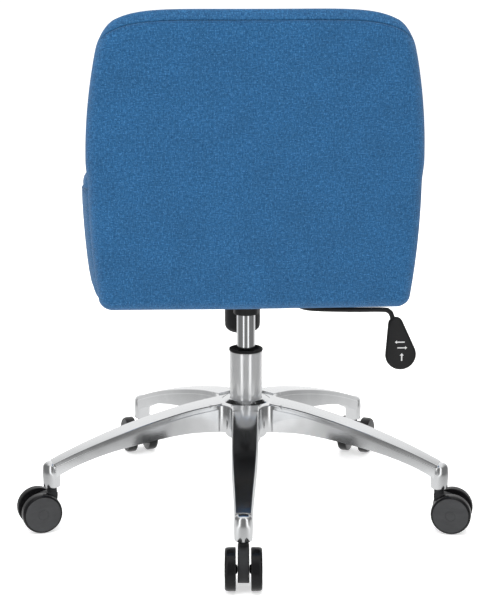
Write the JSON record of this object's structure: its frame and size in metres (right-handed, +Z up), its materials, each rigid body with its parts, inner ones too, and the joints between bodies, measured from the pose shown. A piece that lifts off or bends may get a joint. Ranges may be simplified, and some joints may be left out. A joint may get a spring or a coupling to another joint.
{
  "type": "swivel office chair",
  "caption": "Low-back upholstered swivel chair with short sloping arms, a tilting mechanism, a gas lift and a star base on twin-wheel casters.",
  "frame": {"origin": "on the floor, at the centre of the chair's footprint box; the swivel axis stands 6.5 mm to -X and 21.4 mm to -Y of it", "axes": "+Z up; the chair faces -Y, its back is at +Y and the sitter's right is at -X"},
  "size_m": [0.6871, 0.6678, 0.78],
  "materials": {
    "upholstery_fabric": "matte",
    "liner_cloth": "matte",
    "plywood": "matte",
    "cast_aluminium": "satin",
    "chrome_plate": "polished",
    "satin_tube": "satin",
    "black_steel": "satin",
    "zinc_steel": "satin",
    "spring_steel": "satin",
    "black_plastic": "satin",
    "gloss_black_plastic": "gloss",
    "nylon": "matte"
  },
  "bodies": {
    "base": {"star_base": "cast_aluminium", "stand_tube": "satin_tube", "column_collar": "black_plastic", "guide_bush": "nylon", "thrust_washer": "zinc_steel", "caster_stem_1": "zinc_steel", "caster_stem_2": "zinc_steel", "caster_stem_3": "zinc_steel", "caster_stem_4": "zinc_steel", "caster_stem_5": "zinc_steel"},
    "gas_rod": {"piston_rod": "chrome_plate", "lift_piston": "nylon", "thrust_ring": "zinc_steel", "retaining_clip": "zinc_steel"},
    "mechanism": {"pressure_tube": "chrome_plate", "taper_sleeve": "black_steel", "mechanism_housing": "black_steel", "tilt_pin": "zinc_steel", "tension_spring": "spring_steel"},
    "valve": {"release_pin": "zinc_steel"},
    "lever_pivot": {"lever_bush": "nylon"},
    "lever": {"lever_rod": "black_steel", "lever_paddle": "black_plastic"},
    "seat": {"seat_plate": "black_steel", "seat_pan": "plywood", "seat_cushion": "upholstery_fabric", "back_shell": "upholstery_fabric", "back_cushion": "upholstery_fabric", "wing_left": "upholstery_fabric", "wing_right": "upholstery_fabric", "dust_cover": "liner_cloth", "seat_bolt_1": "zinc_steel", "seat_bolt_2": "zinc_steel", "seat_bolt_3": "zinc_steel", "seat_bolt_4": "zinc_steel", "anchor_pin": "zinc_steel"},
    "adjuster_bolt": {"tension_bolt": "zinc_steel"},
    "adjuster_cup": {"spring_cup": "zinc_steel"},
    "knob": {"tension_knob": "black_plastic"},
    "caster_1": {"caster_body_1": "nylon", "caster_axle_1": "zinc_steel"},
    "roller_1_left": {"wheel_1_left": "gloss_black_plastic"},
    "roller_1_right": {"wheel_1_right": "gloss_black_plastic"},
    "caster_2": {"caster_body_2": "nylon", "caster_axle_2": "zinc_steel"},
    "roller_2_left": {"wheel_2_left": "gloss_black_plastic"},
    "roller_2_right": {"wheel_2_right": "gloss_black_plastic"},
    "caster_3": {"caster_body_3": "nylon", "caster_axle_3": "zinc_steel"},
    "roller_3_left": {"wheel_3_left": "gloss_black_plastic"},
    "roller_3_right": {"wheel_3_right": "gloss_black_plastic"},
    "caster_4": {"caster_body_4": "nylon", "caster_axle_4": "zinc_steel"},
    "roller_4_left": {"wheel_4_left": "gloss_black_plastic"},
    "roller_4_right": {"wheel_4_right": "gloss_black_plastic"},
    "caster_5": {"caster_body_5": "nylon", "caster_axle_5": "zinc_steel"},
    "roller_5_left": {"wheel_5_left": "gloss_black_plastic"},
    "roller_5_right": {"wheel_5_right": "gloss_black_plastic"}
  },
  "joints": [
    {"name": "seat_swivel", "type": "hinge", "parent": "base", "child": "gas_rod", "pos_m": [-0.0065, -0.0214, 0.0872], "axis": [0, 0, 1], "continuous": true},
    {"name": "seat_height", "type": "slide", "parent": "gas_rod", "child": "mechanism", "axis": [0, 0, 1], "range_m": [-0.04, 0.06]},
    {"name": "lever_lift", "type": "hinge", "parent": "mechanism", "child": "lever_pivot", "pos_m": [-0.06, -0.0034, 0.337], "axis": [0, 1, 0], "range_deg": [0, 4], "stiffness_Nm_per_rad": 2, "springref_deg": -2.86},
    {"name": "lever_lock", "type": "slide", "parent": "lever_pivot", "child": "lever", "axis": [-1, 0, 0], "range_m": [0, 0.012]},
    {"name": "valve_press", "type": "slide", "parent": "mechanism", "child": "valve", "axis": [0, 0, -1], "range_m": [0, 0.0038]},
    {"name": "tilt", "type": "hinge", "parent": "mechanism", "child": "seat", "pos_m": [-0.0065, -0.0594, 0.337], "axis": [-1, 0, 0], "range_deg": [0, 12], "stiffness_Nm_per_rad": 80, "springref_deg": -14.32, "deforming": ["tension_spring"]},
    {"name": "bolt_hang", "type": "hinge", "parent": "seat", "child": "adjuster_bolt", "pos_m": [-0.0065, -0.1214, 0.339], "axis": [-1, 0, 0], "range_deg": [-12, 0]},
    {"name": "knob_travel", "type": "slide", "parent": "adjuster_bolt", "child": "adjuster_cup", "axis": [0, 0, 1], "range_m": [-0.003, 0.003]},
    {"name": "knob_turn", "type": "hinge", "parent": "adjuster_cup", "child": "knob", "pos_m": [-0.0065, -0.1214, 0.28], "axis": [0, 0, 1], "range_deg": [-744, 744]},
    {"name": "caster_swivel_1", "type": "hinge", "parent": "base", "child": "caster_1", "pos_m": [0.01398, 0.28291, 0.05], "axis": [0, 0, 1], "continuous": true},
    {"name": "wheel_roll_1_left", "type": "hinge", "parent": "caster_1", "child": "roller_1_left", "pos_m": [0.01497, 0.30289, 0.03], "axis": [-0.9988, 0.0497, 0], "continuous": true},
    {"name": "wheel_roll_1_right", "type": "hinge", "parent": "caster_1", "child": "roller_1_right", "pos_m": [0.01497, 0.30289, 0.03], "axis": [-0.9988, 0.0497, 0], "continuous": true},
    {"name": "caster_swivel_2", "type": "hinge", "parent": "base", "child": "caster_2", "pos_m": [-0.28959, 0.09211, 0.05], "axis": [0, 0, 1], "continuous": true},
    {"name": "wheel_roll_2_left", "type": "hinge", "parent": "caster_2", "child": "roller_2_left", "pos_m": [-0.30892, 0.09724, 0.03], "axis": [-0.2563, -0.9666, 0], "continuous": true},
    {"name": "wheel_roll_2_right", "type": "hinge", "parent": "caster_2", "child": "roller_2_right", "pos_m": [-0.30892, 0.09724, 0.03], "axis": [-0.2563, -0.9666, 0], "continuous": true},
    {"name": "caster_swivel_3", "type": "hinge", "parent": "base", "child": "caster_3", "pos_m": [-0.20194, -0.25556, 0.05], "axis": [0, 0, 1], "continuous": true},
    {"name": "wheel_roll_3_left", "type": "hinge", "parent": "caster_3", "child": "roller_3_left", "pos_m": [-0.2097, -0.27399, 0.03], "axis": [0.9215, -0.3883, 0], "continuous": true},
    {"name": "wheel_roll_3_right", "type": "hinge", "parent": "caster_3", "child": "roller_3_right", "pos_m": [-0.2097, -0.27399, 0.03], "axis": [0.9215, -0.3883, 0], "continuous": true},
    {"name": "caster_swivel_4", "type": "hinge", "parent": "base", "child": "caster_4", "pos_m": [0.1558, -0.27963, 0.05], "axis": [0, 0, 1], "continuous": true},
    {"name": "wheel_roll_4_left", "type": "hinge", "parent": "caster_4", "child": "roller_4_left", "pos_m": [0.1617, -0.29874, 0.03], "axis": [0.9555, 0.2949, 0], "continuous": true},
    {"name": "wheel_roll_4_right", "type": "hinge", "parent": "caster_4", "child": "roller_4_right", "pos_m": [0.1617, -0.29874, 0.03], "axis": [0.9555, 0.2949, 0], "continuous": true},
    {"name": "caster_swivel_5", "type": "hinge", "parent": "base", "child": "caster_5", "pos_m": [0.28925, 0.05316, 0.05], "axis": [0, 0, 1], "continuous": true},
    {"name": "wheel_roll_5_left", "type": "hinge", "parent": "caster_5", "child": "roller_5_left", "pos_m": [0.30836, 0.05906, 0.03], "axis": [-0.2949, 0.9555, 0], "continuous": true},
    {"name": "wheel_roll_5_right", "type": "hinge", "parent": "caster_5", "child": "roller_5_right", "pos_m": [0.30836, 0.05906, 0.03], "axis": [-0.2949, 0.9555, 0], "continuous": true}
  ],
  "couplings": [
    {"joint": "valve_press", "follows": "lever_lift", "m_per_rad": 0.0535},
    {"joint": "bolt_hang", "follows": "tilt", "ratio": -1},
    {"joint": "knob_turn", "follows": "knob_travel", "rad_per_m": 4188.8}
  ]
}
